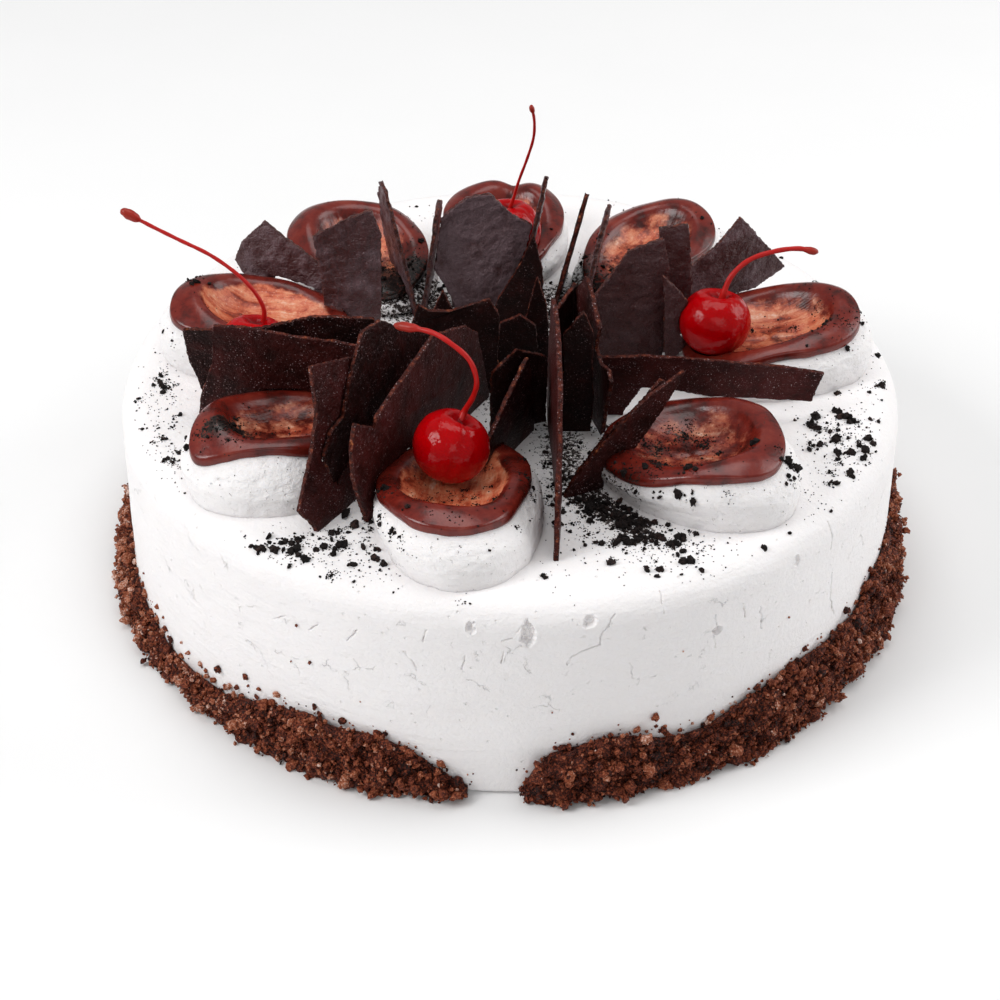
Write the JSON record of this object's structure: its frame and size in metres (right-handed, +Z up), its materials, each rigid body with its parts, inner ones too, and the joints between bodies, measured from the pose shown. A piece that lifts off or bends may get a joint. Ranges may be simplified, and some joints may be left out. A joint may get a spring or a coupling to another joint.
{
  "type": "black forest cake",
  "caption": "Round whole cake in white whipped cream, topped with ganache-filled dollops, upright chocolate bark and stemmed cherries, with cake crumbs round its foot.",
  "frame": {"origin": "middle of the flat base that the cake rests on", "axes": "+Z up out of the cake's top, -Y towards the side the picture is taken from, +X to the right in the picture"},
  "size_m": [0.2495, 0.2488, 0.1268],
  "materials": {
    "frosting": "smooth whipped cream",
    "cream": "soft whipped cream",
    "ganache": "glossy chocolate ganache",
    "cherry": "shiny candied cherry",
    "stem": "satin dyed stem",
    "bark": "dusty dark chocolate",
    "crumb": "dry chocolate sponge crumbs"
  },
  "bodies": {
    "root": {"cream_front": "cream", "cream_front_right": "cream", "cream_right": "cream", "cream_back_right": "cream", "cream_back": "cream", "cream_back_left": "cream", "cream_left": "cream", "cream_front_left": "cream", "ganache_front": "ganache", "ganache_front_right": "ganache", "ganache_right": "ganache", "ganache_back_right": "ganache", "ganache_back": "ganache", "ganache_back_left": "ganache", "ganache_left": "ganache", "ganache_front_left": "ganache", "cherry_front": "cherry", "cherry_right": "cherry", "cherry_back": "cherry", "cherry_left": "cherry", "stem_front": "stem", "stem_right": "stem", "stem_back": "stem", "stem_left": "stem", "bark_01": "bark", "bark_02": "bark", "bark_03": "bark", "bark_04": "bark", "bark_05": "bark", "bark_06": "bark", "bark_07": "bark", "bark_08": "bark", "bark_09": "bark", "bark_10": "bark", "bark_11": "bark", "bark_12": "bark", "bark_13": "bark", "bark_14": "bark", "bark_15": "bark", "bark_16": "bark", "bark_17": "bark", "bark_18": "bark", "bark_19": "bark", "bark_20": "bark", "bark_21": "bark", "bark_22": "bark", "bark_23": "bark", "bark_24": "bark", "bark_25": "bark", "bark_26": "bark", "bark_27": "bark", "bark_28": "bark", "bark_29": "bark", "bark_30": "bark", "bark_31": "bark", "cake": "frosting", "crumb_border": "crumb"}
  },
  "joints": []
}
